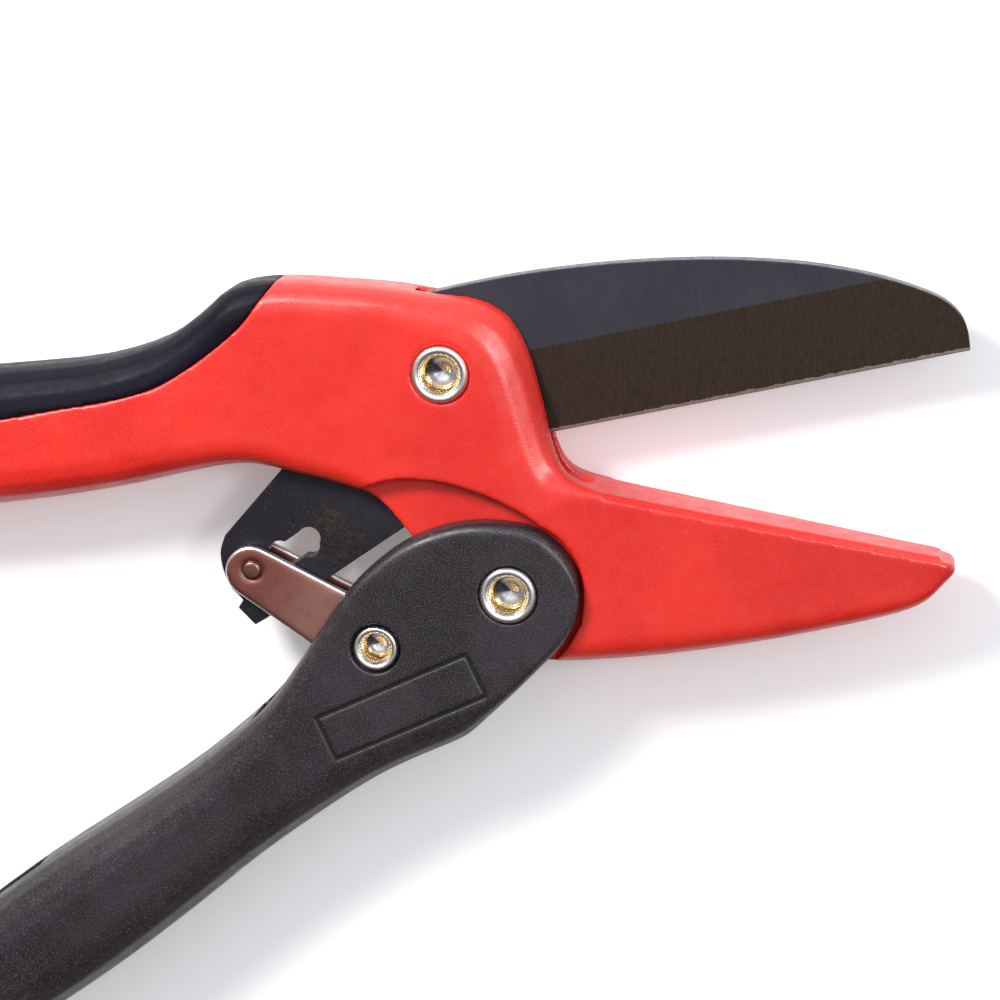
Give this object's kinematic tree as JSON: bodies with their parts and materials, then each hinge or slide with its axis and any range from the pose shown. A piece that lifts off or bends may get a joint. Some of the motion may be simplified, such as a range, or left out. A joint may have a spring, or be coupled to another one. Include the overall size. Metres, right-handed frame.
{
  "type": "anvil pruner",
  "caption": "Hand pruner with a coated blade that a stepping link drives down onto a moulded anvil jaw, shown partly open and lying flat.",
  "frame": {"origin": "middle of the footprint, on the plane the pruner lies on", "axes": "+X towards the tips of the jaws, +Y from the lower handle towards the blade's back, +Z out of the face that shows the rivets' hollow ends"},
  "size_m": [0.2042, 0.1243, 0.0187],
  "materials": {
    "red_nylon": "satin moulded glass-filled nylon, fine speckle",
    "soft_grip": "matte soft-touch elastomer",
    "blade_coating": "dark non-stick coating on hardened steel, edge ground bare",
    "black_nylon": "satin moulded glass-filled nylon",
    "rivet_steel": "zinc-plated, rolled lip polished, hollow with a pale yellow passivation",
    "link_steel": "rolled stainless plate with fine lengthwise lines",
    "pin_steel": "browned hardened pin with peened ends",
    "spring_steel": "oiled spring wire",
    "plain_steel": "plain turned or stamped steel"
  },
  "bodies": {
    "frame": {"anvil_body": "red_nylon", "upper_grip": "soft_grip", "blade_bushing": "plain_steel", "blade_washer_front": "plain_steel", "blade_washer_back": "plain_steel", "blade_rivet": "rivet_steel", "blade_rivet_washer": "plain_steel", "handle_bushing": "plain_steel", "return_spring": "spring_steel", "keeper_pin": "plain_steel"},
    "blade": {"blade": "blade_coating"},
    "handle": {"lower_handle": "black_nylon", "handle_rivet": "rivet_steel", "handle_rivet_washer": "plain_steel", "link_bushing": "plain_steel", "link_washer_front": "plain_steel", "link_washer_back": "plain_steel", "link_rivet": "rivet_steel", "ratchet_spring": "spring_steel", "catch_pin": "plain_steel"},
    "link": {"ratchet_link": "link_steel", "ratchet_pin": "pin_steel"},
    "catch": {"catch_hook": "black_nylon"}
  },
  "joints": [
    {"name": "handle_squeeze", "type": "hinge", "parent": "frame", "child": "handle", "pos_m": [0.0343, 0.0132, 0.009], "axis": [0, 0, -1], "range_deg": [0, 32.5], "stiffness_Nm_per_rad": 0.02, "springref_deg": -11.46},
    {"name": "blade_cut", "type": "hinge", "parent": "frame", "child": "blade", "pos_m": [0.0249, 0.0462, 0.009], "axis": [0, 0, -1], "range_deg": [0, 22.5]},
    {"name": "link_step", "type": "hinge", "parent": "handle", "child": "link", "pos_m": [0.0139, 0.0048, 0.009], "axis": [0, 0, 1], "range_deg": [0, 24.2]},
    {"name": "catch_swing", "type": "hinge", "parent": "handle", "child": "catch", "pos_m": [-0.05904, -0.05041, 0.009], "axis": [0, 0, 1], "range_deg": [0, 115.86]}
  ],
  "couplings": [
    {"joint": "blade_cut", "follows": "handle_squeeze", "ratio": 0.69231},
    {"joint": "link_step", "follows": "handle_squeeze", "ratio": 0.74461}
  ]
}
